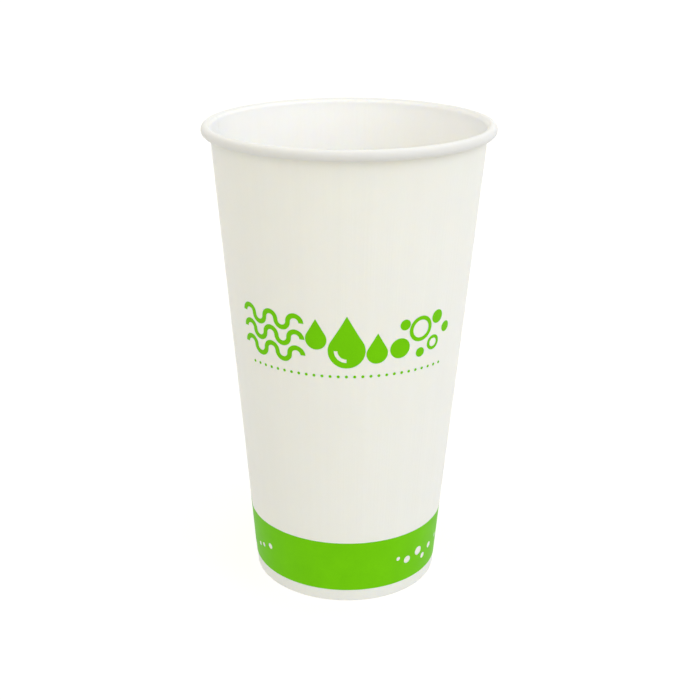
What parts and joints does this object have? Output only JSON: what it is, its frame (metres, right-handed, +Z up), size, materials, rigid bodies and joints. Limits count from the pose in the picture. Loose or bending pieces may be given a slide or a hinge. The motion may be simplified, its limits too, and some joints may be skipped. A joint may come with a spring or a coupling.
{
  "type": "paper cold cup",
  "caption": "Tall tapered cup of coated white paperboard with a rolled rim, a side seam, a recessed bottom disc and plain green print, for cold drinks.",
  "frame": {"origin": "centre of the foot, on the plane that the cup stands on", "axes": "+Z up along the cup's axis; the front with the printed motif faces -Y"},
  "size_m": [0.1045, 0.1044, 0.175],
  "materials": {
    "sidewall_board": "satin",
    "disc_board": "satin",
    "green_ink": "satin"
  },
  "bodies": {
    "root": {"sidewall": "sidewall_board", "base_disc": "disc_board", "printed_band": "green_ink", "printed_motif": "green_ink"}
  },
  "joints": []
}
